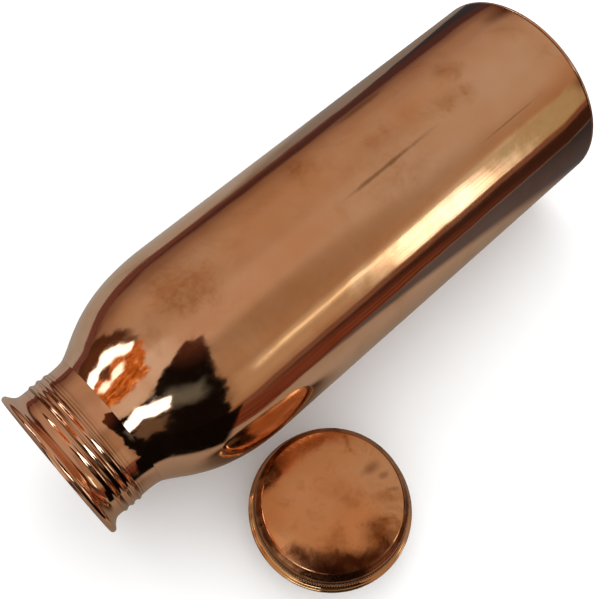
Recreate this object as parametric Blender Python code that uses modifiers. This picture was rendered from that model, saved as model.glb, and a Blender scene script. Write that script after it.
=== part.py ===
"""Copper water bottle with a plug cap: the bottle lies on its side and its cap stands beside it.

Metres, +Z up. The origin is the centre of the bottom of the object's box. The bottle's axis runs along X,
with the mouth at -X, and the cap stands on its plug at -Y.
"""

import math

import bpy
from mathutils import Vector

MM = 0.001
STEPS = 48  # flat sides of every turned piece
GAP = 0.3 * MM  # clearance between pieces that touch
SHEET = 0.8 * MM  # thickness of the copper sheet

# Bottle. Heights run along its axis, from the standing face of the base up to the lip.
BODY_RADIUS = 36.5 * MM
BOTTLE_LENGTH = 208.5 * MM
LIP_RADIUS = 26.3 * MM
LIP_EDGE = 1.0 * MM  # radius of the rolled edge
FLARE_LENGTH = 5.2 * MM
NECK_RADIUS = 23.3 * MM
NECK_FOOT_RADIUS = 23.8 * MM
NECK_LENGTH = 20.8 * MM
SHOULDER_LENGTH = 41.0 * MM
SPIGOT_DEPTH = 3.5 * MM
BASE_CORNER = 0.9 * MM
SEAM_HEIGHT = 1.2 * MM
BASE_RISE = 2.6 * MM
STANDING_RIM = 5.4 * MM
BASE_UPSTAND = 4.0 * MM

# Thread, the same on the neck and on the cap's plug.
THREAD_PITCH = 2.6 * MM
THREAD_HEIGHT = 0.5 * MM
THREAD_TURNS = 3.2
THREAD_FROM_LIP = 14.6 * MM

# Cap. Heights run up from the table that its plug stands on.
PLUG_RADIUS = 22.2 * MM
FLANGE_HEIGHT = 12.4 * MM
FLANGE_RADIUS = 26.5 * MM
BAND_RADIUS = 25.4 * MM
CROWN_FOOT_RADIUS = 24.5 * MM
CROWN_EDGE_RADIUS = 22.2 * MM
CROWN_FOOT = 19.0 * MM
CROWN_EDGE = 23.6 * MM
CAP_TOP = 26.05 * MM
GASKET_THICKNESS = 1.5 * MM
GASKET_RADIUS = 25.4 * MM

# Places, worked out from the sizes above and from where the cap stands beside the bottle.
CAP_FROM_LIP = 56.8 * MM
CAP_FROM_AXIS = 62.5 * MM
AXIS_HEIGHT = BODY_RADIUS * math.cos(math.pi / STEPS)
BOX_MIDDLE = (AXIS_HEIGHT - CAP_FROM_AXIS - FLANGE_RADIUS) / 2


def clear_scene():
    for obj in list(bpy.data.objects):
        bpy.data.objects.remove(obj, do_unlink=True)


def plain_material(name, colour, roughness, metallic):
    material = bpy.data.materials.new(name)
    material.use_nodes = True
    shader = material.node_tree.nodes["Principled BSDF"]
    shader.inputs["Base Color"].default_value = (*colour, 1)
    shader.inputs["Roughness"].default_value = roughness
    shader.inputs["Metallic"].default_value = metallic
    return material


def copper(name, colour, roughness):
    return plain_material(name, colour, roughness, 1.0)


def arc(centre_radius, centre_height, size, start, end, count):
    """Points (radius, height) on a round stretch, with angles in degrees from straight out."""
    points = []
    for i in range(count + 1):
        angle = math.radians(start + (end - start) * i / count)
        points.append((centre_radius + size * math.cos(angle), centre_height + size * math.sin(angle)))
    return points


def bezier(points, count):
    """Points on the Bezier curve whose control points are given, both ends included."""
    curve = []
    for i in range(count + 1):
        layer = [Vector(point) for point in points]
        while len(layer) > 1:
            layer = [a.lerp(b, i / count) for a, b in zip(layer, layer[1:])]
        curve.append(tuple(layer[0]))
    return curve


def turned(name, profile, collection, closed=True):
    """Turns an outline of (radius, height) points, which runs down its outer side, into a solid."""
    mesh = bpy.data.meshes.new(name)
    edges = [(i, i + 1) for i in range(len(profile) - 1)]
    if closed:
        edges.append((len(profile) - 1, 0))
    mesh.from_pydata([(r, 0, z) for r, z in profile], edges, [])
    obj = bpy.data.objects.new(name, mesh)
    collection.objects.link(obj)
    screw = obj.modifiers.new("Turn", "SCREW")
    screw.axis = "Z"
    screw.angle = 2 * math.pi
    screw.steps = STEPS
    screw.render_steps = STEPS
    screw.use_merge_vertices = True
    screw.merge_threshold = 0.01 * MM
    bpy.context.view_layer.update()
    solid = bpy.data.meshes.new_from_object(obj.evaluated_get(bpy.context.evaluated_depsgraph_get()))
    obj.modifiers.clear()
    obj.data = solid
    bpy.data.meshes.remove(mesh)
    solid.name = name
    return obj


def smooth(obj, material, parent, twist=0.0):
    obj.data.materials.append(material)
    obj.data.shade_smooth()
    obj.data.set_sharp_from_angle(angle=math.radians(30))
    obj.parent = parent
    obj.rotation_euler = (0, 0, twist)


def ease(value):
    value = min(max(value, 0.0), 1.0)
    return value * value * (3 - 2 * value)


def raise_thread(obj, wall_radius, foot):
    """Lifts a right-hand helical ridge out of a turned wall, fading in and out at its two ends.

    wall_radius is the wall's radius before any lift, and foot is the height at which the ridge starts.
    """
    for vertex in obj.data.vertices:
        radius = vertex.co.xy.length
        if abs(radius - wall_radius) > 0.01 * MM:
            continue
        around = (math.atan2(vertex.co.y, vertex.co.x) / (2 * math.pi)) % 1.0
        phase = (vertex.co.z - foot) / THREAD_PITCH - around
        along = round(phase) + around
        ridge = (0.5 + 0.5 * math.cos(2 * math.pi * phase)) ** 1.3
        fade = ease(along / 0.3) * ease((THREAD_TURNS - along) / 0.3)
        scale = 1 + THREAD_HEIGHT * ridge * fade / radius
        vertex.co.x *= scale
        vertex.co.y *= scale


def rows(radius, top, bottom, count):
    return [(radius, top + (bottom - top) * i / count) for i in range(count + 1)]


def shoulder(count):
    """The body's outer outline from the neck joint down to the straight wall."""
    joint = BOTTLE_LENGTH - NECK_LENGTH - GAP / 2
    hollow_end = (26.65 * MM, joint - 5.0 * MM)
    hollow = bezier([(NECK_FOOT_RADIUS, joint), (24.9 * MM, joint - 2.3 * MM), hollow_end], 3)
    crown = [
        hollow_end,
        (32.1 * MM, joint - 13.4 * MM),
        (BODY_RADIUS, joint - 23.2 * MM),
        (BODY_RADIUS, joint - SHOULDER_LENGTH),
    ]
    return hollow + bezier(crown, count)[1:]


def build_body(collection):
    outside = shoulder(9)
    foot = SEAM_HEIGHT + GAP
    outside += [(BODY_RADIUS, foot + 0.3 * MM), (BODY_RADIUS - 0.3 * MM, foot)]
    inside = [(BODY_RADIUS - SHEET, foot)]
    for radius, height in reversed(outside[:-2]):
        inside.append((radius - SHEET, height))
    return turned("bottle_body", outside + inside, collection)


def build_neck(collection):
    lip = BOTTLE_LENGTH
    foot = lip - NECK_LENGTH + GAP / 2
    flare_foot = lip - FLARE_LENGTH
    thread_foot = lip - THREAD_FROM_LIP
    wall_foot = thread_foot - 1.0 * MM
    inner = NECK_RADIUS - SHEET
    spigot = NECK_FOOT_RADIUS - SHEET - GAP
    outside = arc(LIP_RADIUS - LIP_EDGE, lip - LIP_EDGE, LIP_EDGE, 110, -60, 6)
    outside += bezier(
        [
            (LIP_RADIUS - 0.9 * MM, lip - 2.1 * MM),
            (NECK_RADIUS + 0.5 * MM, lip - 2.8 * MM),
            (NECK_RADIUS, flare_foot),
        ],
        3,
    )
    outside += rows(NECK_RADIUS, flare_foot - 0.5 * MM, wall_foot, 18)
    outside += [(NECK_RADIUS + 0.1 * MM, foot + 1.8 * MM), (NECK_FOOT_RADIUS, foot)]
    inside = [
        (spigot, foot),
        (spigot, foot - SPIGOT_DEPTH),
        (spigot - SHEET, foot - SPIGOT_DEPTH),
        (spigot - SHEET, foot + 1.0 * MM),
    ]
    inside += rows(inner, wall_foot, flare_foot - 0.5 * MM, 18)
    inside += [(inner, flare_foot + 0.6 * MM), (inner + 0.7 * MM, lip - 2.6 * MM)]
    neck = turned("neck_collar", outside + inside, collection)
    raise_thread(neck, NECK_RADIUS, thread_foot)
    raise_thread(neck, inner, thread_foot)
    return neck


def build_base(collection):
    upstand = BODY_RADIUS - SHEET - GAP
    rim_inner = BODY_RADIUS - STANDING_RIM
    top = [
        (0, BASE_RISE + SHEET),
        (rim_inner - 3.0 * MM, BASE_RISE + SHEET),
        (rim_inner - 0.4 * MM, SHEET),
        (upstand - SHEET, SHEET),
        (upstand - SHEET, BASE_UPSTAND),
        (upstand, BASE_UPSTAND),
        (upstand, SEAM_HEIGHT),
        (BODY_RADIUS - 0.2 * MM, SEAM_HEIGHT),
    ]
    corner = arc(BODY_RADIUS - BASE_CORNER, BASE_CORNER, BASE_CORNER, 0, -90, 4)
    underside = [(rim_inner, 0), (rim_inner - 2.6 * MM, BASE_RISE), (0, BASE_RISE)]
    return turned("base_plate", top + corner + underside, collection, closed=False)


def build_plug(collection):
    top = FLANGE_HEIGHT + 2.2 * MM
    corner = 1.2 * MM
    inner = PLUG_RADIUS - SHEET
    outside = [(inner, top), (PLUG_RADIUS, top), (PLUG_RADIUS, FLANGE_HEIGHT - 2.2 * MM)]
    outside += rows(PLUG_RADIUS, FLANGE_HEIGHT - 2.6 * MM, 1.4 * MM, 15)
    outside += arc(PLUG_RADIUS - corner, corner, corner, 0, -90, 3)
    profile = [(0, SHEET), (inner - corner, SHEET), (inner, SHEET + corner)] + outside + [(0, 0)]
    plug = turned("cap_plug", profile, collection, closed=False)
    raise_thread(plug, PLUG_RADIUS, 1.2 * MM)
    return plug


def build_gasket(collection):
    top = FLANGE_HEIGHT - GAP
    bottom = top - GASKET_THICKNESS
    edge = 0.4 * MM
    inner = PLUG_RADIUS + GAP
    outside = arc(GASKET_RADIUS - edge, top - edge, edge, 90, 0, 2)
    outside += arc(GASKET_RADIUS - edge, bottom + edge, edge, 0, -90, 2)
    return turned("cap_gasket", [(inner, top)] + outside + [(inner, bottom)], collection)


def build_grip(collection):
    """The flange, two fine beads and the band for the fingers, in one ring round the plug's top."""
    inner = PLUG_RADIUS + GAP
    bead = 0.75 * MM
    flange_bead = arc(FLANGE_RADIUS - bead, FLANGE_HEIGHT + bead, bead, 80, -90, 6)
    upper_height = FLANGE_HEIGHT + 2 * bead + 0.75 * MM
    upper_bead = arc(FLANGE_RADIUS - 0.6 * MM - bead, upper_height, bead, 70, -70, 4)
    band_foot = upper_height + bead + 0.1 * MM
    band_top = CROWN_FOOT - GAP - 0.2 * MM
    profile = [
        (inner, CROWN_FOOT - GAP),
        (BAND_RADIUS - 0.5 * MM, CROWN_FOOT - GAP),
        (BAND_RADIUS, band_top - 0.2 * MM),
        (BAND_RADIUS, band_foot),
    ]
    profile += upper_bead + flange_bead + [(inner, FLANGE_HEIGHT)]
    return turned("cap_grip_ring", profile, collection)


def build_crown(collection):
    edge = (CROWN_EDGE_RADIUS, CROWN_EDGE)
    slope_top = (CROWN_EDGE_RADIUS + 0.8 * MM, CROWN_EDGE - 0.7 * MM)
    slope_foot = (CROWN_FOOT_RADIUS - 0.4 * MM, CROWN_EDGE - 1.85 * MM)
    side_bend = (CROWN_FOOT_RADIUS, CROWN_EDGE - 2.33 * MM)
    side_top = (CROWN_FOOT_RADIUS, CROWN_EDGE - 3.3 * MM)
    outside = bezier([(0, CAP_TOP), (10.0 * MM, CAP_TOP), (17.5 * MM, CAP_TOP - 0.75 * MM), edge], 7)
    outside += bezier([edge, (CROWN_EDGE_RADIUS + 0.35 * MM, CROWN_EDGE - 0.14 * MM), slope_top], 2)[1:]
    outside += bezier([slope_foot, side_bend, side_top], 2)
    outside.append((CROWN_FOOT_RADIUS, CROWN_FOOT))
    inside = [
        (CROWN_FOOT_RADIUS - SHEET, CROWN_FOOT),
        (CROWN_FOOT_RADIUS - SHEET, CROWN_EDGE - 2.6 * MM),
        (CROWN_EDGE_RADIUS - 0.2 * MM, CROWN_EDGE - SHEET),
        (16.0 * MM, CAP_TOP - SHEET - 1.0 * MM),
        (9.0 * MM, CAP_TOP - SHEET - 0.2 * MM),
        (0, CAP_TOP - SHEET),
    ]
    return turned("cap_crown", outside + inside, collection, closed=False)


def axis_empty(name, location, rotation, collection):
    empty = bpy.data.objects.new(name, None)
    empty.empty_display_size = 0.02
    empty.location = location
    empty.rotation_euler = rotation
    collection.objects.link(empty)
    return empty


def build():
    clear_scene()
    collection = bpy.data.collections.new("copper_water_bottle")
    bpy.context.scene.collection.children.link(collection)

    polished = copper("polished_copper", (0.86, 0.46, 0.29), 0.08)
    collar = copper("collar_copper", (0.80, 0.42, 0.27), 0.12)
    base = copper("base_copper", (0.78, 0.40, 0.25), 0.16)
    crown = copper("crown_copper", (0.88, 0.44, 0.24), 0.12)
    grip = copper("grip_copper", (0.80, 0.40, 0.22), 0.18)
    plug = copper("plug_copper", (0.82, 0.44, 0.28), 0.20)
    seal = plain_material("clear_silicone", (0.80, 0.80, 0.76), 0.45, 0.0)

    half_step = math.pi / STEPS
    base_x = BOTTLE_LENGTH / 2
    bottle_place = (base_x, -BOX_MIDDLE, AXIS_HEIGHT)
    bottle = axis_empty("bottle_axis", bottle_place, (0, -math.pi / 2, 0), collection)
    cap_place = (CAP_FROM_LIP - base_x, -BOX_MIDDLE - CAP_FROM_AXIS, 0)
    cap = axis_empty("cap_axis", cap_place, (0, 0, 0), collection)

    smooth(build_body(collection), polished, bottle, half_step)
    smooth(build_neck(collection), collar, bottle, half_step)
    smooth(build_base(collection), base, bottle, half_step)
    smooth(build_plug(collection), plug, cap)
    smooth(build_gasket(collection), seal, cap)
    smooth(build_grip(collection), grip, cap)
    smooth(build_crown(collection), crown, cap)


build()
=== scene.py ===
"""The looks of a copper water bottle on its side and the plug cap beside it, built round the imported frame."""

import math

import bpy
from mathutils import Matrix, Vector


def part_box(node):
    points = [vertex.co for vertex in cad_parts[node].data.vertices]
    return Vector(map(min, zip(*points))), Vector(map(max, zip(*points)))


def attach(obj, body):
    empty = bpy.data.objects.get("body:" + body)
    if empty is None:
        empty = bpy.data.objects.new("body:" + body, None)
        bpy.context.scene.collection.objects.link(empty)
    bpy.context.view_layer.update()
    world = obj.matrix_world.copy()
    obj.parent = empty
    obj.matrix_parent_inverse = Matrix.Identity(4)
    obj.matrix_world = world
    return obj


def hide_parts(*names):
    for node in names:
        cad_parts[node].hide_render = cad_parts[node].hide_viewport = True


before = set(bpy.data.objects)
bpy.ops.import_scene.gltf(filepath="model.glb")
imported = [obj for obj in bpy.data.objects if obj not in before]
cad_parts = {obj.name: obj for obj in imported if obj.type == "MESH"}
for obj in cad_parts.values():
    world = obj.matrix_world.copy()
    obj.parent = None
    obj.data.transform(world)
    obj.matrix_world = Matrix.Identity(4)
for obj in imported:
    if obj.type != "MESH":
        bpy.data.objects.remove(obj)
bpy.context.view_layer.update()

MM = 0.001
STEPS = 288  # sides of a turned piece
SHEET = 0.8 * MM  # thickness of the metal
GAP = 0.3 * MM  # between two pieces that touch
DEGREES = 180 / math.pi

# The bottle's own axis runs through the middle of its body; heights on it run from the base up to the lip.
body_low, body_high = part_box("bottle_body")
_, base_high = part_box("base_plate")
neck_low, neck_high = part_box("neck_collar")
BODY_RADIUS = (body_high.z - body_low.z) / 2
AXIS = Vector((base_high.x, (body_low.y + body_high.y) / 2, (body_low.z + body_high.z) / 2))
LIP = base_high.x - neck_low.x
NECK_JOINT = LIP - 20.8 * MM  # where the neck meets the shoulder
LIP_RADIUS = (neck_high.z - neck_low.z) / 2
LIP_EDGE = 1.0 * MM  # radius of its rolled edge
FLARE_LENGTH = 5.2 * MM
NECK_RADIUS = 23.3 * MM
NECK_FOOT_RADIUS = 23.8 * MM

# The cap's axis stands on the table.
crown_low, crown_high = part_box("cap_crown")
grip_low, grip_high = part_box("cap_grip_ring")
gasket_low, gasket_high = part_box("cap_gasket")
CAP_AXIS = Vector(((grip_low.x + grip_high.x) / 2, (grip_low.y + grip_high.y) / 2, 0))
FLANGE_RADIUS = (grip_high.x - grip_low.x) / 2
FLANGE_HEIGHT = grip_low.z
CROWN_FOOT = crown_low.z
CAP_TOP = crown_high.z
CROWN_FOOT_RADIUS = (crown_high.x - crown_low.x) / 2
GASKET_RADIUS = (gasket_high.x - gasket_low.x) / 2
PLUG_RADIUS = 22.2 * MM
KNURLS = 198
BAND_FOOT = 15.7 * MM  # the knurled band's heights and inner radius
BAND_TOP = 17.9 * MM
BAND_RADIUS = 24.0 * MM

THREAD_PITCH = 2.6 * MM
THREAD_HEIGHT = 0.5 * MM
THREAD_TURNS = 3.2
THREAD_FROM_LIP = 14.6 * MM
JOINT_CLEARANCE = 0.02 * MM  # half the gap between the neck and the shoulder, too fine to see

TO_BOTTLE = Matrix.Translation(AXIS) @ Matrix.Rotation(-math.pi / 2, 4, "Y")
TO_CAP = Matrix.Translation(CAP_AXIS)


# ---------------------------------------------------------------- outlines and turned meshes

def arc(centre_radius, centre_height, size, start, end, count):
    """Points (radius, height) on a round stretch, with angles in degrees from straight out."""
    points = []
    for i in range(count + 1):
        angle = math.radians(start + (end - start) * i / count)
        points.append((centre_radius + size * math.cos(angle), centre_height + size * math.sin(angle)))
    return points


def bezier(points, count):
    """Points on the smooth curve that these control points pull, from the first to the last."""
    curve = []
    for i in range(count + 1):
        layer = [Vector(point) for point in points]
        while len(layer) > 1:
            layer = [a.lerp(b, i / count) for a, b in zip(layer, layer[1:])]
        curve.append(tuple(layer[0]))
    return curve


def line(start, end, count):
    return [tuple(Vector(start).lerp(Vector(end), i / count)) for i in range(count + 1)]


def ease(value):
    """A soft step from 0 to 1, as value goes from 0 to 1."""
    value = min(max(value, 0.0), 1.0)
    return value * value * (3 - 2 * value)


def turned(name, outline, place, closed=True, steps=STEPS, relief=None):
    """A solid of revolution. relief(turn, radius, height) says how far a point stands out of the outline."""
    verts = []
    faces = []
    rings = []
    for radius, height in outline:
        if radius < 1e-7:
            rings.append([len(verts)])
            verts.append((0.0, 0.0, height))
            continue
        ring = []
        for i in range(steps):
            turn = i / steps
            angle = 2 * math.pi * turn
            out = radius + (relief(turn, radius, height) if relief else 0.0)
            ring.append(len(verts))
            verts.append((out * math.cos(angle), out * math.sin(angle), height))
        rings.append(ring)
    pairs = list(zip(rings, rings[1:]))
    if closed:
        pairs.append((rings[-1], rings[0]))
    for upper, lower in pairs:
        for i in range(steps):
            j = (i + 1) % steps
            left = [upper[i % len(upper)], lower[i % len(lower)]]
            right = [lower[j % len(lower)], upper[j % len(upper)]]
            faces.append(list(dict.fromkeys(left + right)))  # a triangle where a ring is one point
    mesh = bpy.data.meshes.new(name)
    mesh.from_pydata(verts, [], faces)
    mesh.validate()
    mesh.shade_smooth()
    mesh.set_sharp_from_angle(angle=math.radians(50))
    obj = bpy.data.objects.new(name, mesh)
    bpy.context.scene.collection.objects.link(obj)
    obj.matrix_world = place
    return obj


def thread_relief(foot, wall_radius):
    """A right-hand helical ridge that stands out of the wall and fades at its two ends."""
    def relief(turn, radius, height):
        if abs(radius - wall_radius) > 0.05 * MM:
            return 0.0
        phase = (height - foot) / THREAD_PITCH - turn
        along = round(phase) + turn
        ridge = (0.5 + 0.5 * math.cos(2 * math.pi * phase)) ** 1.3
        return THREAD_HEIGHT * ridge * ease(along / 0.3) * ease((THREAD_TURNS - along) / 0.3)
    return relief


# ---------------------------------------------------------------- node materials

class Nodes:
    """Short ways to write a node tree."""

    def __init__(self, name):
        self.material = bpy.data.materials.new(name)
        self.material.use_nodes = True
        self.tree = self.material.node_tree
        self.shader = self.tree.nodes["Principled BSDF"]
        self.object = self.add("ShaderNodeTexCoord").outputs["Object"]

    def add(self, kind, **settings):
        node = self.tree.nodes.new(kind)
        for key, value in settings.items():
            setattr(node, key, value)
        return node

    def put(self, socket, value):
        if isinstance(value, bpy.types.NodeSocket):
            self.tree.links.new(value, socket)
        else:
            socket.default_value = value

    def math(self, operation, a, b=0.0):
        node = self.add("ShaderNodeMath", operation=operation)
        for socket, value in zip(node.inputs, (a, b)):
            self.put(socket, value)
        return node.outputs[0]

    def plus(self, a, b):
        return self.math("ADD", a, b)

    def minus(self, a, b):
        return self.math("SUBTRACT", a, b)

    def times(self, a, b):
        return self.math("MULTIPLY", a, b)

    def length(self, a, b):
        return self.math("SQRT", self.plus(self.times(a, a), self.times(b, b)))

    def smooth(self, value, low, high, to_low=0.0, to_high=1.0):
        """to_low below low, to_high above high, and a soft step between."""
        node = self.add("ShaderNodeMapRange", interpolation_type="SMOOTHSTEP")
        for socket, item in zip(node.inputs, (value, low, high, to_low, to_high)):
            self.put(socket, item)
        return node.outputs[0]

    def fade(self, value, low, high):
        """1 below low, 0 above high."""
        return self.smooth(value, low, high, 1.0, 0.0)

    def window(self, value, low, high, soft):
        """1 between low and high, fading to 0 over soft on each side."""
        rise = self.smooth(value, low - soft, low + soft)
        return self.times(rise, self.fade(value, high - soft, high + soft))

    def split(self, vector):
        node = self.add("ShaderNodeSeparateXYZ")
        self.put(node.inputs[0], vector)
        return node.outputs

    def join(self, x, y, z):
        node = self.add("ShaderNodeCombineXYZ")
        for socket, value in zip(node.inputs, (x, y, z)):
            self.put(socket, value)
        return node.outputs[0]

    def noise(self, vector, scale, detail=4.0, roughness=0.55, distortion=0.0):
        node = self.add("ShaderNodeTexNoise")
        self.put(node.inputs["Vector"], vector)
        node.inputs["Scale"].default_value = scale
        node.inputs["Detail"].default_value = detail
        node.inputs["Roughness"].default_value = roughness
        node.inputs["Distortion"].default_value = distortion
        return node.outputs["Fac"]

    def stretched(self, vector, scale):
        node = self.add("ShaderNodeMapping")
        self.put(node.inputs["Vector"], vector)
        node.inputs["Scale"].default_value = scale
        return node.outputs[0]

    def mix(self, fac, a, b):
        node = self.add("ShaderNodeMix", data_type="RGBA")
        self.put(node.inputs["Factor"], fac)
        for name, value in (("A", a), ("B", b)):
            socket = [s for s in node.inputs if s.name == name and s.type == "RGBA"][0]
            self.put(socket, value)
        return [s for s in node.outputs if s.type == "RGBA"][0]

    def bump(self, height, distance, normal=None):
        node = self.add("ShaderNodeBump")
        self.put(node.inputs["Height"], height)
        node.inputs["Distance"].default_value = distance
        if normal is not None:
            self.put(node.inputs["Normal"], normal)
        return node.outputs[0]


def rgb(*values):
    return (*values, 1.0)


COPPER = rgb(0.89, 0.57, 0.41)
COPPER_WARM = rgb(0.81, 0.45, 0.27)
TARNISH = rgb(0.56, 0.24, 0.09)
BROWN = rgb(0.20, 0.10, 0.045)
MAROON = rgb(0.11, 0.025, 0.010)


def copper_material(
    name,
    roughness=0.07,
    haze=0.3,
    stains=(),
    marks=(),
    base=COPPER,
    grain=1.0,
    wall_radius=BODY_RADIUS,
    painted_shade_radii=None,
    rings=None,
    cloud_scale=65.0,
    disc=False,
    stain_colour=TARNISH,
    mark_and_shade_colour=BROWN,
):
    """Polished copper with cloudy tarnish, polishing lines along the piece's axis, stains and dark marks.

    A stain or mark is (u, v, half size in u, half size in v, strength), in metres on the surface. On a wall,
    u is the height and v runs round it at wall_radius. On a disc, u is the distance from the middle instead.
    groove is (dark radius, clean radius): painted shade darkens the metal from the second radius to the first.
    rings is (low, high): heights between which fine dark turning lines run round the piece.
    """
    n = Nodes(name)
    x, y, z = n.split(n.object)
    out = n.length(x, y)
    u = out if disc else z
    v = n.times(n.math("ARCTAN2", y, x), wall_radius)
    broad = n.noise(n.object, 22.0, 3.0, 0.6)
    cloud = n.noise(n.object, cloud_scale, 6.0, 0.62, 0.6)
    fine = n.noise(n.object, 420.0, 4.0, 0.6)
    lines = n.noise(n.stretched(n.object, (900.0, 900.0, 14.0)), 1.0, 2.0, 0.5)
    specks = n.noise(n.object, 1500.0, 2.0, 0.5)

    colour = n.mix(n.smooth(broad, 0.35, 0.68), base, COPPER_WARM)
    hazy = n.times(n.smooth(cloud, 0.5, 0.76), haze)
    colour = n.mix(hazy, colour, TARNISH)
    uneven = n.smooth(fine, 0.3, 0.8, roughness * 0.7, roughness * 1.5)
    rough = n.plus(n.times(hazy, 0.25), uneven)
    rough = n.plus(rough, n.smooth(lines, 0.55, 0.8, 0.0, 0.05))

    def patch(at_u, at_v, half_u, half_v, wobble, inner):
        """1 in the middle of an oval with a ragged edge, and 0 outside it."""
        across = n.math("DIVIDE", n.minus(v, at_v), half_v)
        along = n.math("DIVIDE", n.minus(u, at_u), half_u)
        ragged = n.times(n.minus(cloud, 0.5), wobble)
        return n.fade(n.plus(n.length(across, along), ragged), inner, 1.1)

    def paint(mask, patch_colour, roughening):
        """Puts a colour on where the mask is 1, and makes the metal rougher there."""
        nonlocal colour, rough
        colour = n.mix(mask, colour, patch_colour)
        rough = n.plus(rough, n.times(mask, roughening))

    for *place, strength in stains:
        mottled = n.smooth(fine, 0.3, 0.7, strength * 0.55, strength)
        paint(n.times(patch(*place, 2.6, 0.0), mottled), stain_colour, 0.16)
    for *place, strength in marks:
        paint(n.times(patch(*place, 1.6, 0.1), strength), mark_and_shade_colour, 0.15)

    # Painted shade: the metal darkens between the two radii, in the marks' colour.
    if painted_shade_radii:
        dark, clean = painted_shade_radii
        if dark < clean:
            mask = n.smooth(out, dark, clean, 0.9, 0.0)
        else:
            mask = n.times(n.smooth(out, clean, dark), n.smooth(cloud, 0.3, 0.6, 0.85, 0.35))
        paint(mask, mark_and_shade_colour, 0.06)
    if rings:
        turning = n.noise(n.join(n.times(z, 1500.0), n.times(broad, 3.0), 0.0), 1.0, 3.0, 0.7)
        threads = n.window(z, rings[0], rings[1], 0.001)
        colour = n.mix(n.times(n.smooth(turning, 0.46, 0.62, 0.0, 0.9), threads), colour, BROWN)

    n.put(n.shader.inputs["Base Color"], colour)
    n.put(n.shader.inputs["Roughness"], n.math("MINIMUM", rough, 0.6))
    n.shader.inputs["Metallic"].default_value = 1.0
    waves = n.bump(broad, 0.0003)
    polish = n.bump(lines, 0.000006 * grain, normal=waves)
    n.put(n.shader.inputs["Normal"], n.bump(specks, 0.0000015, normal=polish))
    return n.material


def silicone_material(name):
    n = Nodes(name)
    cloud = n.noise(n.object, 120.0, 3.0)
    grain = n.noise(n.object, 2500.0, 2.0)
    n.put(n.shader.inputs["Base Color"], n.mix(cloud, rgb(0.78, 0.78, 0.74), rgb(0.66, 0.66, 0.60)))
    n.put(n.shader.inputs["Roughness"], n.smooth(grain, 0.3, 0.7, 0.35, 0.55))
    n.shader.inputs["Subsurface Weight"].default_value = 0.3
    n.shader.inputs["Subsurface Scale"].default_value = 0.002
    n.put(n.shader.inputs["Normal"], n.bump(grain, 0.00001))
    return n.material


def dress(obj, material, body, slot, *nodes):
    obj.data.materials.append(material)
    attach(obj, body)
    if nodes:
        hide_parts(*nodes)


# ---------------------------------------------------------------- the bottle

def shoulder_outline():
    """From the neck joint down: a hollow curve, then a crowned one that runs into the straight wall."""
    joint = NECK_JOINT - JOINT_CLEARANCE
    hollow_end = (26.65 * MM, joint - 5.0 * MM)
    hollow = bezier([(NECK_FOOT_RADIUS, joint), (24.9 * MM, joint - 2.3 * MM), hollow_end], 10)
    crown = [
        hollow_end,
        (32.1 * MM, joint - 13.4 * MM),
        (BODY_RADIUS, joint - 23.2 * MM),
        (BODY_RADIUS, joint - 41.0 * MM),
    ]
    return hollow + bezier(crown, 48)[1:]


def make_body():
    foot = 1.45 * MM
    edge = 0.35 * MM
    wall = shoulder_outline()
    wall += line(wall[-1], (BODY_RADIUS, foot + edge), 12)[1:]
    outside = wall + arc(BODY_RADIUS - edge, foot + edge, edge, 0, -90, 5)[1:]
    inside = [(BODY_RADIUS - SHEET, foot)]
    for radius, height in reversed(wall[:-1]):
        inside.append((radius - SHEET, height))
    material = copper_material(
        "polished_copper_body",
        stains=(
            (0.153, 0.004, 0.020, 0.014, 0.75),
            (0.099, 0.0140, 0.009, 0.010, 0.75),
            (0.037, 0.008, 0.007, 0.006, 0.8),
            (0.045, -0.001, 0.012, 0.005, 0.7),
            (0.075, 0.0045, 0.008, 0.004, 0.6),
            (0.070, -0.011, 0.010, 0.005, 0.4),
            (0.118, 0.011, 0.010, 0.003, 0.3),
            (0.074, 0.000, 0.022, 0.016, 0.35),
        ),
        marks=(
            (0.078, -0.0050, 0.024, 0.0010, 0.75),
            (0.034, -0.0186, 0.017, 0.0004, 0.45),
            (0.064, 0.0190, 0.014, 0.0014, 0.55),
        ),
        stain_colour=rgb(0.52, 0.205, 0.06),
        mark_and_shade_colour=rgb(0.27, 0.135, 0.055),
    )
    body = turned("bottle_body_copper", outside + inside, TO_BOTTLE)
    dress(body, material, "bottle", "polished_copper", "bottle_body")


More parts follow.
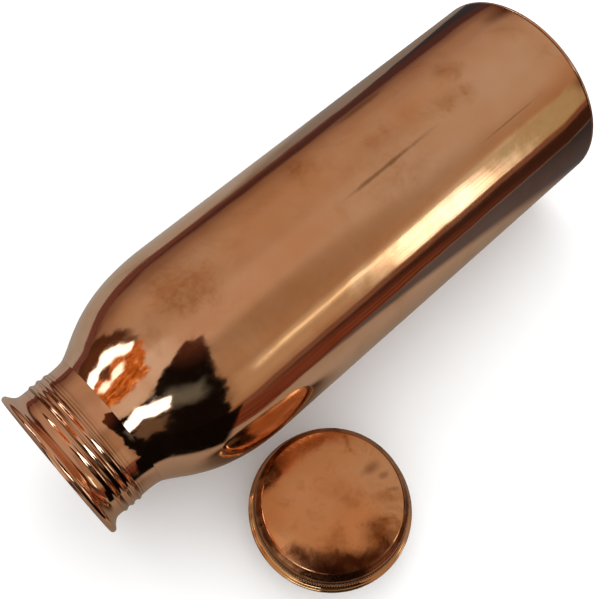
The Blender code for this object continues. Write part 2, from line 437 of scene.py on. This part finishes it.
def make_neck():
    """A straight neck with the thread rolled into it, a flared lip, and a spigot inside the shoulder."""
    foot = NECK_JOINT + JOINT_CLEARANCE
    flare_foot = LIP - FLARE_LENGTH
    thread_foot = LIP - THREAD_FROM_LIP
    wall_foot = thread_foot - 1.0 * MM
    inner = NECK_RADIUS - SHEET
    spigot = NECK_FOOT_RADIUS - SHEET - GAP  # the stretch inside the shoulder
    outside = arc(LIP_RADIUS - LIP_EDGE, LIP - LIP_EDGE, LIP_EDGE, 120, -55, 20)
    outside += bezier(
        [
            (LIP_RADIUS - 0.75 * MM, LIP - 2.05 * MM),
            (NECK_RADIUS + 0.9 * MM, LIP - 2.9 * MM),
            (NECK_RADIUS, LIP - 3.8 * MM),
            (NECK_RADIUS, flare_foot),
        ],
        18,
    )
    outside += line((NECK_RADIUS, flare_foot - 0.1 * MM), (NECK_RADIUS, wall_foot), 120)
    collar = [(NECK_RADIUS, wall_foot - 0.2 * MM), (NECK_RADIUS, foot + 2.2 * MM), (NECK_FOOT_RADIUS, foot)]
    outside += bezier(collar, 12)
    inside = [(spigot, foot), (spigot, foot - 3.5 * MM), (spigot - SHEET, foot - 3.5 * MM)]
    inside += [(spigot - SHEET, foot + 1.0 * MM), (inner, foot + 3.0 * MM)]
    inside += line((inner, wall_foot), (inner, flare_foot), 120)
    flare = [(inner, flare_foot + 0.2 * MM), (inner, LIP - 3.6 * MM), (inner + 1.2 * MM, LIP - 2.2 * MM)]
    inside += bezier(flare, 12)
    outer_thread = thread_relief(thread_foot, NECK_RADIUS)
    inner_thread = thread_relief(thread_foot, inner)

    def relief(turn, radius, height):
        return outer_thread(turn, radius, height) + inner_thread(turn, radius, height)

    neck = turned("neck_collar_copper", outside + inside, TO_BOTTLE, relief=relief)
    material = copper_material(
        "collar_copper_neck",
        roughness=0.05,
        haze=0.3,
        base=rgb(0.84, 0.50, 0.36),
        wall_radius=NECK_RADIUS,
        rings=(wall_foot, flare_foot - 1.5 * MM),
    )
    dress(neck, material, "bottle", "collar_copper", "neck_collar")


def make_base():
    """The bottom: a standing rim, a recessed middle, and an upstand that fits inside the wall."""
    corner_size = 0.9 * MM
    seam = 1.2 * MM
    rise = 2.6 * MM
    rim_inner = BODY_RADIUS - 5.4 * MM
    upstand = BODY_RADIUS - SHEET - GAP
    outline = [(0, rise + SHEET), (rim_inner - 3.0 * MM, rise + SHEET), (rim_inner - 0.4 * MM, SHEET)]
    outline += [(upstand - SHEET, SHEET), (upstand - SHEET, 4.0 * MM), (upstand, 4.0 * MM), (upstand, seam)]
    outline += arc(BODY_RADIUS - 0.25 * MM, seam - 0.25 * MM, 0.25 * MM, 90, 0, 4)
    outline += arc(BODY_RADIUS - corner_size, corner_size, corner_size, 0, -90, 12)
    step = [
        (rim_inner + 0.8 * MM, 0),
        (rim_inner - 1.0 * MM, 0),
        (rim_inner - 1.6 * MM, rise),
        (rim_inner - 3.2 * MM, rise),
    ]
    outline += bezier(step, 12)
    outline += [(rim_inner * 0.5, rise), (0, rise)]
    base = turned("base_plate_copper", outline, TO_BOTTLE, closed=False)
    material = copper_material("base_copper_plate", roughness=0.12, haze=0.6)
    dress(base, material, "bottle", "base_copper", "base_plate")


# ---------------------------------------------------------------- the cap

def make_plug():
    thread_foot = 1.2 * MM
    top = FLANGE_HEIGHT + 2.2 * MM
    corner = 1.2 * MM
    inner = PLUG_RADIUS - SHEET
    outside = [(inner, top), (PLUG_RADIUS, top)]
    outside += line((PLUG_RADIUS, FLANGE_HEIGHT - 2.2 * MM), (PLUG_RADIUS, corner + 0.1 * MM), 110)
    outside += arc(PLUG_RADIUS - corner, corner, corner, 0, -90, 10)
    outline = [(0, SHEET), (inner - corner, SHEET), (inner, SHEET + corner)] + outside + [(0, 0)]
    thread = thread_relief(thread_foot, PLUG_RADIUS)
    plug = turned("cap_plug_copper", outline, TO_CAP, closed=False, relief=thread)
    material = copper_material("plug_copper_thread", roughness=0.16, wall_radius=PLUG_RADIUS)
    dress(plug, material, "cap", "plug_copper", "cap_plug")


def make_gasket():
    edge = 0.4 * MM
    inner = PLUG_RADIUS + GAP
    top, bottom = gasket_high.z, gasket_low.z
    outline = [(inner, top)]
    outline += arc(GASKET_RADIUS - edge, top - edge, edge, 90, 0, 8)
    outline += arc(GASKET_RADIUS - edge, bottom + edge, edge, 0, -90, 8)
    outline += [(inner, bottom)]
    gasket = turned("cap_gasket_silicone", outline, TO_CAP)
    material = silicone_material("clear_silicone_ring")
    dress(gasket, material, "cap_seal", "clear_silicone", "cap_gasket")


def knurl_relief(turn, radius, height):
    """Slanted grooves across the band, as on a twisted rope."""
    share = (height - BAND_FOOT) / (BAND_TOP - BAND_FOOT)
    if not 0 < share < 1:
        return 0.0
    wave = 0.5 + 0.5 * math.cos(2 * math.pi * (KNURLS * turn + 0.9 * share))
    return -0.55 * MM * (1 - wave ** 0.7) * math.sin(math.pi * share) ** 0.5


def make_grip():
    """The cap's ring, with its two beads, and the knurled band that sits in its groove."""
    inner = PLUG_RADIUS + GAP
    bead = 0.75 * MM
    upper_bead_height = FLANGE_HEIGHT + 2.9 * bead
    ring = [(inner, CROWN_FOOT - GAP), (CROWN_FOOT_RADIUS - 0.6 * MM, CROWN_FOOT - GAP)]
    ring += arc(CROWN_FOOT_RADIUS - 0.3 * MM, CROWN_FOOT - 0.7 * MM, 0.35 * MM, 70, -60, 8)
    ring += [(BAND_RADIUS, BAND_TOP + 0.1 * MM), (BAND_RADIUS, BAND_FOOT - 0.1 * MM)]
    ring += arc(FLANGE_RADIUS - 0.55 * MM - bead, upper_bead_height, bead * 0.9, 75, -75, 12)
    ring.append((FLANGE_RADIUS - 1.7 * MM, FLANGE_HEIGHT + 1.95 * bead))
    ring += arc(FLANGE_RADIUS - bead, FLANGE_HEIGHT + bead, bead, 80, -90, 16)
    ring += [(inner, FLANGE_HEIGHT)]
    material = copper_material(
        "grip_copper_ring",
        roughness=0.05,
        haze=0.45,
        base=rgb(0.80, 0.46, 0.22),
        wall_radius=FLANGE_RADIUS,
        # Painted shade in the knurl grooves and the hollow between the beads, in maroon.
        painted_shade_radii=(24.6 * MM, 25.15 * MM),
        cloud_scale=120.0,
        mark_and_shade_colour=MAROON,
    )
    grip = turned("cap_grip_ring_copper", ring, TO_CAP)
    dress(grip, material, "cap", "grip_copper", "cap_grip_ring")

    half_height = (BAND_TOP - BAND_FOOT) / 2
    depth = 0.95 * MM
    rope = []
    for i in range(17):
        angle = math.radians(90 - 180 * i / 16)
        radius = BAND_RADIUS + 0.4 * MM + depth * math.cos(angle)
        rope.append((radius, BAND_FOOT + half_height * (1 + math.sin(angle))))
    rope += [(BAND_RADIUS, BAND_FOOT), (BAND_RADIUS, BAND_TOP)]
    band = turned("cap_knurled_band", rope, TO_CAP, steps=KNURLS * 8, relief=knurl_relief)
    dress(band, material, "cap", "grip_copper")


def make_crown():
    """A slightly domed disc with a rounded rim, a steep bevel below it and a short upright foot."""
    rim = (22.2 * MM, CROWN_FOOT + 4.6 * MM)
    bevel_top = (rim[0] + 0.8 * MM, rim[1] - 0.70 * MM)
    bevel_foot = (CROWN_FOOT_RADIUS - 0.4 * MM, rim[1] - 1.85 * MM)
    outside = bezier([(0, CAP_TOP), (10.0 * MM, CAP_TOP), (17.5 * MM, CAP_TOP - 0.75 * MM), rim], 48)
    outside += bezier([rim, (rim[0] + 0.35 * MM, rim[1] - 0.14 * MM), bevel_top], 12)[1:]
    outside += line(bevel_top, bevel_foot, 4)[1:]
    side_top = (CROWN_FOOT_RADIUS, rim[1] - 3.3 * MM)
    outside += bezier([bevel_foot, (CROWN_FOOT_RADIUS, rim[1] - 2.33 * MM), side_top], 10)[1:]
    outside += [(CROWN_FOOT_RADIUS, CROWN_FOOT + 0.6 * MM), (CROWN_FOOT_RADIUS, CROWN_FOOT + 0.3 * MM)]
    outside += arc(CROWN_FOOT_RADIUS - 0.3 * MM, CROWN_FOOT + 0.3 * MM, 0.3 * MM, 0, -90, 5)[1:]
    inside = [
        (CROWN_FOOT_RADIUS - SHEET, CROWN_FOOT),
        (CROWN_FOOT_RADIUS - SHEET, rim[1] - 2.6 * MM),
        (rim[0] - 0.2 * MM, rim[1] - SHEET),
        (16.0 * MM, CAP_TOP - SHEET - 1.0 * MM),
        (9.0 * MM, CAP_TOP - SHEET - 0.2 * MM),
        (0, CAP_TOP - SHEET),
    ]
    crown = turned("cap_crown_copper", outside + inside, TO_CAP, closed=False)
    material = copper_material(
        "crown_copper_top",
        roughness=0.14,
        haze=0.5,
        stains=(
            (0.0205, 0.0170, 0.0045, 0.0140, 1.0),
            (0.0190, 0.0230, 0.0040, 0.0070, 0.9),
            (0.0210, 0.0360, 0.0035, 0.0110, 0.9),
            (0.0160, -0.0250, 0.0060, 0.0080, 1.0),
            (0.0180, -0.0280, 0.0050, 0.0100, 1.0),
            (0.0160, -0.0132, 0.0060, 0.0040, 0.7),
            (0.0050, -0.0176, 0.0060, 0.0100, 0.4),
            (0.0128, -0.0427, 0.0060, 0.0080, 0.5),
            (0.0030, 0.0000, 0.0070, 0.0600, 0.35),
        ),
        marks=(
            (0.0158, -0.0012, 0.0044, 0.0030, 0.5),
            (0.018, -0.0056, 0.0026, 0.0016, 0.4),
            (0.0155, -0.0268, 0.0048, 0.0075, 0.45),
            (0.0192, -0.0106, 0.003, 0.001, 0.35),
            # The last four marks are a painted reflection: a near-black band along the disc's lower edge, on
            # the camera's side, where the disc mirrors the dark thing in the room.
            (0.0212, -0.0418, 0.0058, 0.015, 0.97),
            (0.0196, -0.0531, 0.0034, 0.008, 0.9),
            (0.0208, -0.0315, 0.003, 0.01, 0.85),
            (0.019, -0.0398, 0.0045, 0.007, 0.8),
        ),
        base=rgb(0.80, 0.37, 0.17),
        grain=0.3,
        # Painted shade on the rim and bevel, mottled, where they mirror the dark room.
        painted_shade_radii=(23.0 * MM, 22.3 * MM),
        wall_radius=0.019,
        cloud_scale=170.0,
        disc=True,
        stain_colour=rgb(0.46, 0.16, 0.05),
        mark_and_shade_colour=MAROON,
    )
    dress(crown, material, "cap", "crown_copper", "cap_crown")


# ---------------------------------------------------------------- surroundings, lights and camera

def glow_material(name):
    """The node tree of a material that only gives off light, and its emission node."""
    n = Nodes(name)
    n.tree.nodes.remove(n.shader)
    glow = n.add("ShaderNodeEmission")
    output = [node for node in n.tree.nodes if node.type == "OUTPUT_MATERIAL"][0]
    n.tree.links.new(glow.outputs[0], output.inputs["Surface"])
    return n, glow


def only_reflected(obj):
    """Leaves the object to be seen in mirror reflections alone."""
    obj.visible_camera = False
    obj.visible_diffuse = False
    obj.visible_shadow = False
    obj.visible_transmission = False
    obj.visible_volume_scatter = False


def make_room():
    """The room that the copper mirrors, painted inside a dome by azimuth and elevation, in degrees."""
    bpy.ops.mesh.primitive_uv_sphere_add(segments=64, ring_count=32, radius=6.0, location=AXIS)
    dome = bpy.context.object
    dome.name = "reflected_room"
    n, glow = glow_material("reflected_room")
    x, y, z = n.split(n.object)
    azimuth = n.times(n.math("ARCTAN2", y, x), DEGREES)
    azimuth_behind = n.math("MODULO", n.plus(azimuth, 360.0), 360.0)
    elevation = n.times(n.math("ARCTAN2", z, n.length(x, y)), DEGREES)
    rough_edge = n.times(n.minus(n.noise(n.object, 0.9, 5.0, 0.6), 0.5), 18.0)
    ragged_azimuth = n.plus(azimuth, rough_edge)
    ragged_azimuth_behind = n.plus(azimuth_behind, n.times(rough_edge, 0.6))
    ragged_elevation = n.plus(elevation, n.times(rough_edge, 0.6))

    def band(value):
        return lambda low, high, soft: n.window(value, low, high, soft)

    # Bands round the room and up it. Those behind count from 0 to 360, and the rest from -180 to 180.
    around, behind, upward = band(azimuth), band(azimuth_behind), band(elevation)
    ragged_around, ragged_upward = band(ragged_azimuth), band(ragged_elevation)
    ragged_behind = band(ragged_azimuth_behind)

    def paint(patch, *masks):
        nonlocal colour
        mask = masks[0]
        for other in masks[1:]:
            mask = n.times(mask, other)
        colour = n.mix(mask, colour, patch)

    # Walls and ceiling.
    colour = n.mix(n.smooth(elevation, 2.0, 40.0), rgb(0.22, 0.13, 0.085), rgb(0.45, 0.34, 0.24))
    paint(rgb(0.35, 0.25, 0.155), around(-140.0, -40.0, 10.0))
    paint(rgb(0.50, 0.42, 0.325), around(-45.0, 35.0, 14.0), n.smooth(elevation, 25.0, 45.0))
    paint(rgb(0.53, 0.40, 0.29), n.smooth(elevation, 62.0, 76.0))
    paint(rgb(0.64, 0.56, 0.46), behind(148.0, 205.0, 14.0), n.fade(elevation, 66.0, 84.0))
    patchy = n.noise(n.object, 0.35, 3.0, 0.5)
    paint(rgb(0.52, 0.34, 0.19), n.smooth(patchy, 0.35, 0.7, 0.0, 0.35))

    # Low furniture along the horizon.
    skyline = n.plus(elevation, n.times(n.noise(n.object, 0.8, 4.0, 0.6), -14.0))
    far_side = around(50.0, 118.0, 4.0)
    paint(rgb(0.15, 0.085, 0.06), n.fade(skyline, -6.0, -1.0), far_side)
    paint(rgb(0.08, 0.03, 0.02), n.fade(skyline, -7.5, -5.5), far_side)
    paint(rgb(0.07, 0.022, 0.012), n.fade(elevation, 14.0, 26.0), around(-42.0, 48.0, 5.0))
    paint(rgb(0.19, 0.08, 0.05), n.fade(elevation, 0.5, 4.0), around(-97.0, -40.0, 3.0))

    # The window on the near side, with a soft glow round it.
    paint(rgb(0.47, 0.36, 0.23), around(-92.0, -50.0, 4.0), upward(8.0, 30.0, 4.0))
    paint(rgb(0.58, 0.53, 0.37), around(-80.0, -50.0, 4.0), upward(19.0, 28.0, 2.0))
    paint(rgb(0.44, 0.42, 0.26), around(-68.0, -42.0, 3.5), upward(3.5, 25.0, 1.5))
    paint(rgb(1.15, 1.05, 0.75), around(-78.0, -57.0, 4.0), upward(21.5, 25.0, 1.0))
    blinds = n.noise(n.join(n.times(azimuth, 0.03), n.times(elevation, 0.9), 0.0), 1.0, 3.0, 0.6)
    bright = n.mix(n.smooth(blinds, 0.40, 0.62), rgb(1.5, 1.4, 1.0), rgb(3.3, 3.4, 3.1))
    paint(bright, around(-66.5, -58.0, 3.0), upward(4.0, 24.0, 1.2))

    # The dark corner on the mouth side, with the cane chair and two lamps in front of it.
    paint(rgb(0.075, 0.03, 0.015), ragged_around(119.0, 129.0, 2.0), n.fade(ragged_elevation, 34.0, 46.0))
    paint(rgb(0.10, 0.04, 0.018), ragged_around(126.0, 168.0, 3.0), n.fade(ragged_elevation, 44.0, 52.0))
    slats = n.plus(n.times(azimuth_behind, 0.34), n.times(elevation, 0.10))
    strands = n.noise(n.join(slats, n.times(elevation, 0.11), 0.0), 1.6, 5.0, 0.7, 1.2)
    sheen = n.smooth(n.noise(n.object, 1.6, 3.0), 0.54, 0.70)
    cane = n.mix(n.smooth(strands, 0.40, 0.60), rgb(0.20, 0.045, 0.006), rgb(0.80, 0.25, 0.05))
    cane = n.mix(sheen, cane, rgb(0.95, 0.60, 0.30))
    paint(cane, ragged_behind(134.0, 180.0, 2.5), ragged_upward(26.0, 54.0, 1.5))
    paint(rgb(3.4, 3.5, 3.3), ragged_behind(132.0, 141.0, 1.2), ragged_upward(16.0, 44.5, 2.0))
    paint(rgb(2.2, 2.1, 1.9), ragged_behind(148.0, 158.0, 1.2), ragged_upward(28.0, 36.0, 1.5))

    # The dark thing, its top sloping down from the middle, with grey sheens and a slanting bright pane.
    from_middle = n.math("ABSOLUTE", n.plus(azimuth, 130.0))
    dark_top = n.plus(ragged_elevation, n.times(from_middle, 0.06))
    dark = n.mix(n.smooth(elevation, 55.0, 80.0), rgb(0.006, 0.004, 0.003), rgb(0.085, 0.03, 0.016))
    paint(dark, ragged_around(-160.0, -97.5, 1.5), n.fade(dark_top, 79.5, 82.5))
    paint(rgb(0.13, 0.09, 0.055), ragged_around(-150.0, -138.0, 1.5), ragged_upward(4.0, 20.0, 2.0))
    paint(rgb(0.13, 0.15, 0.13), ragged_around(-146.0, -110.0, 7.0), ragged_upward(28.0, 43.0, 5.0))
    slanting = n.minus(ragged_elevation, n.times(n.plus(azimuth, 150.0), 0.35))
    paint(rgb(4.4, 4.8, 4.9), ragged_around(-168.0, -140.5, 1.5), n.window(slanting, 21.0, 32.5, 1.5))
    n.put(glow.inputs["Color"], colour)
    dome.data.materials.append(n.material)
    only_reflected(dome)


def make_reflected_table():
    """The pale sheet under the bottle and the darker table beyond its edges, as the copper mirrors them.

    along and across are in body radii: along from the lip to the base, across from the axis to the far side.
    """
    bpy.ops.mesh.primitive_plane_add(size=12.0, location=(AXIS.x, AXIS.y, 0.0001))
    table = bpy.context.object
    table.name = "reflected_table"
    n, glow = glow_material("reflected_table")
    unit = BODY_RADIUS
    x, y, _ = n.split(n.object)
    along = n.plus(n.math("DIVIDE", x, unit), LIP / unit)
    across = n.math("DIVIDE", y, unit)
    away = n.smooth(n.math("ABSOLUTE", across), 0.6, 2.5)  # out of the bottle's own shadow
    near_sheet = n.mix(away, rgb(0.24, 0.20, 0.15), rgb(0.37, 0.32, 0.255))
    far_sheet = n.mix(away, rgb(0.26, 0.24, 0.21), rgb(0.40, 0.385, 0.34))
    far_sheet = n.mix(n.smooth(along, 3.8, 5.0), far_sheet, rgb(0.24, 0.225, 0.20))
    colour = n.mix(n.smooth(across, -0.5, 0.5), near_sheet, far_sheet)

    # A soft shadow under the cap, and a darker one where it stands.
    cap_along = (CAP_AXIS.x - AXIS.x + LIP) / unit
    cap_across = (CAP_AXIS.y - AXIS.y) / unit
    from_x = n.minus(along, cap_along)
    from_y = n.minus(across, cap_across)
    distance = n.length(from_x, from_y)
    colour = n.mix(n.smooth(distance, 0.68, 1.25, 0.85, 0.0), colour, rgb(0.06, 0.035, 0.02))
    outer_side = n.fade(from_y, -0.3, 0.3)
    contact = n.times(n.smooth(distance, 0.86, 1.06, 0.95, 0.0), outer_side)
    colour = n.mix(contact, colour, rgb(0.03, 0.010, 0.006))

    # Beyond the sheet's slanting corner and its far edge.
    slant = n.minus(n.times(along, 0.72), n.times(across, 0.69))
    corner = n.math("MAXIMUM", n.smooth(slant, 4.7, 5.4), n.smooth(along, 7.4, 7.7))
    cloth = n.mix(n.smooth(along, 5.0, 8.5), rgb(0.10, 0.095, 0.10), rgb(0.035, 0.037, 0.047))
    colour = n.mix(corner, colour, cloth)
    streak = n.noise(n.stretched(n.join(along, across, 0.0), (0.12, 1.1, 1.0)), 1.0, 4.0, 0.65)
    wavy = n.plus(across, n.times(streak, 1.6))
    far_line = n.plus(wavy, n.smooth(along, 5.0, 6.8, -1.0, 0.0))
    far_edge = n.smooth(far_line, 7.4, 8.6)
    far_table = n.mix(n.smooth(along, 5.0, 10.0), rgb(0.17, 0.075, 0.06), rgb(0.07, 0.036, 0.034))
    far_table = n.mix(n.smooth(streak, 0.42, 0.62, 0.0, 0.6), far_table, rgb(0.085, 0.030, 0.020))
    colour = n.mix(far_edge, colour, far_table)

    # Beyond its near edge: dark red wood, darker towards the bottle's base.
    near_edge = n.fade(across, -4.5, -4.0)
    wood = n.mix(n.smooth(streak, 0.40, 0.60), rgb(0.13, 0.034, 0.017), rgb(0.21, 0.08, 0.042))
    wood = n.mix(n.smooth(along, 4.0, 9.0), wood, rgb(0.045, 0.02, 0.014))
    wood = n.mix(n.fade(across, -40.0, -12.0), wood, rgb(0.20, 0.11, 0.07))
    colour = n.mix(near_edge, colour, wood)
    seam = n.times(n.window(across, -4.3, -4.05, 0.12), n.smooth(along, 4.0, 5.0))
    colour = n.mix(seam, colour, rgb(0.17, 0.14, 0.12))

    # A dark thing on the near side of the mouth.
    slanted = n.plus(across, n.times(along, 0.25))
    shade = n.times(n.fade(slanted, -2.7, -2.25), n.fade(along, 0.6, 0.9))
    colour = n.mix(shade, colour, rgb(0.004, 0.003, 0.002))
    n.put(glow.inputs["Color"], colour)
    table.data.materials.append(n.material)
    only_reflected(table)


def make_floor():
    bpy.ops.mesh.primitive_plane_add(size=14.0, location=(0, 0, 0))
    floor = bpy.context.object
    floor.name = "pale_floor"
    n = Nodes("pale_floor")
    grain = n.noise(n.object, 40.0, 3.0)
    n.put(n.shader.inputs["Base Color"], n.mix(grain, rgb(0.90, 0.90, 0.90), rgb(0.93, 0.93, 0.925)))
    n.shader.inputs["Roughness"].default_value = 0.9
    n.shader.inputs["Specular IOR Level"].default_value = 0.1
    floor.data.materials.append(n.material)


def make_backdrop():
    """A white dome that only the camera sees, behind the floor."""
    bpy.ops.mesh.primitive_uv_sphere_add(segments=48, ring_count=24, radius=6.9)
    backdrop = bpy.context.object
    backdrop.name = "pale_backdrop"
    n, glow = glow_material("pale_backdrop")
    glow.inputs["Color"].default_value = rgb(1.0, 1.0, 1.0)
    backdrop.data.materials.append(n.material)
    backdrop.visible_glossy = False
    backdrop.visible_diffuse = False
    backdrop.visible_shadow = False
    backdrop.visible_transmission = False


def make_light():
    world = bpy.data.worlds.new("soft_studio")
    bpy.context.scene.world = world
    world.use_nodes = True
    background = world.node_tree.nodes["Background"]
    background.inputs["Color"].default_value = rgb(1.0, 1.0, 1.0)
    background.inputs["Strength"].default_value = 1.25
    light = bpy.data.lights.new("soft_top", "AREA")
    light.energy = 9.0
    light.size = 1.6
    lamp = bpy.data.objects.new("soft_top", light)
    lamp.location = (0.5, 0.9, 1.5)
    lamp.rotation_euler = (-lamp.location).to_track_quat("-Z", "Y").to_euler()
    lamp.visible_glossy = False
    bpy.context.scene.collection.objects.link(lamp)


def make_camera():
    """Looks down on the bottle from above its mouth end, turned so that the bottle runs up to the right."""
    lip_on_table = Vector((AXIS.x - LIP, AXIS.y, 0))
    place = lip_on_table + BODY_RADIUS * Vector((-0.138, -2.597, 8.734))
    turn = Vector((math.radians(16.88), math.radians(-18.03), math.radians(-2.95)))
    tilt = Matrix.Rotation(turn.length, 4, turn.normalized())
    right = Vector((0.77, -0.64, 0)).normalized()
    up = Vector((-right.y, right.x, 0))
    flat = Matrix((right, up, right.cross(up))).transposed().to_4x4()
    data = bpy.data.cameras.new("camera")
    data.sensor_width = 36.0
    data.lens = 56.7165
    data.clip_start = 0.01
    camera = bpy.data.objects.new("camera", data)
    camera.matrix_world = Matrix.Translation(place) @ tilt @ flat
    bpy.context.scene.collection.objects.link(camera)
    bpy.context.scene.camera = camera


make_body()
make_neck()
make_base()
make_plug()
make_gasket()
make_grip()
make_crown()
make_floor()
make_backdrop()
make_room()
make_reflected_table()
make_light()
make_camera()
bpy.context.scene.view_settings.view_transform = "Standard"
